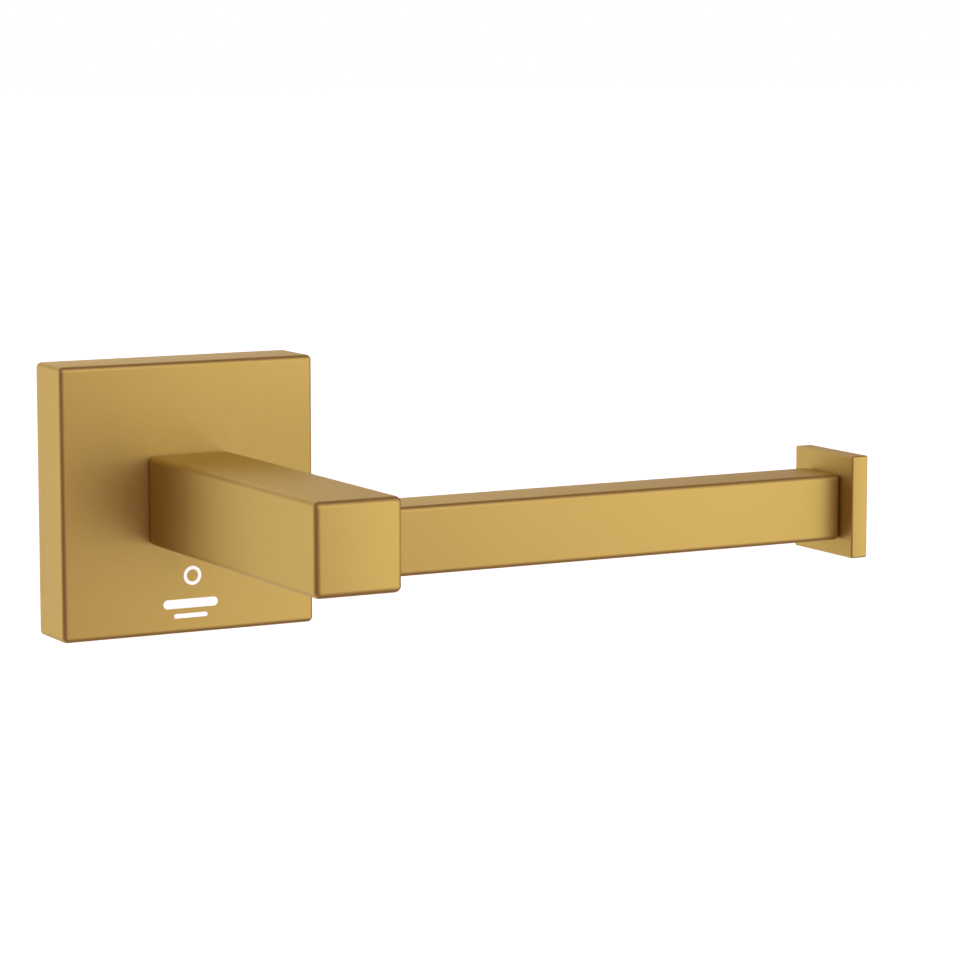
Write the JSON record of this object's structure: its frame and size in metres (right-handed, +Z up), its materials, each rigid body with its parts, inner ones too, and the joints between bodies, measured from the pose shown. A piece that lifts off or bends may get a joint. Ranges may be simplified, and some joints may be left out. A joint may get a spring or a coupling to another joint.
{
  "type": "toilet paper holder",
  "caption": "Wall-mounted toilet paper holder: square flange, square arm with soft edges, and an open square bar that ends in a square plate.",
  "frame": {"origin": "on the wall plane, at the centre of the square flange and midway between the two wall screws", "axes": "+Y points into the wall, -Y away from it along the arm, +X along the bar towards its free end, +Z up"},
  "size_m": [0.1508, 0.0976, 0.06],
  "materials": {
    "gold_metal": "satin gold PVD coating on metal",
    "zinc_casting": "bare zinc alloy casting, slightly rough",
    "plated_steel": "bright zinc-plated steel",
    "screw_steel": "dark stainless set screw"
  },
  "bodies": {
    "holder": {"flange": "gold_metal", "wall_bracket": "zinc_casting", "arm": "gold_metal", "arm_locating_pins": "plated_steel", "arm_screw": "plated_steel", "arm_spring_washer": "plated_steel", "arm_flat_washer": "plated_steel", "bar": "gold_metal", "bar_spigot": "zinc_casting", "bar_end_plug": "zinc_casting", "end_stud": "plated_steel", "end_plate": "gold_metal"},
    "flange_set_screw": {"flange_set_screw": "screw_steel"},
    "bar_set_screw": {"bar_set_screw": "screw_steel"}
  },
  "joints": [
    {"name": "flange_set_screw_turn", "type": "hinge", "parent": "holder", "child": "flange_set_screw", "pos_m": [0, -0.005, -0.0296], "axis": [0, 0, -1], "range_deg": [0, 990]},
    {"name": "bar_set_screw_turn", "type": "hinge", "parent": "holder", "child": "bar_set_screw", "pos_m": [0.0038, -0.0866, -0.0085], "axis": [0, 0, -1], "range_deg": [0, 450]}
  ]
}
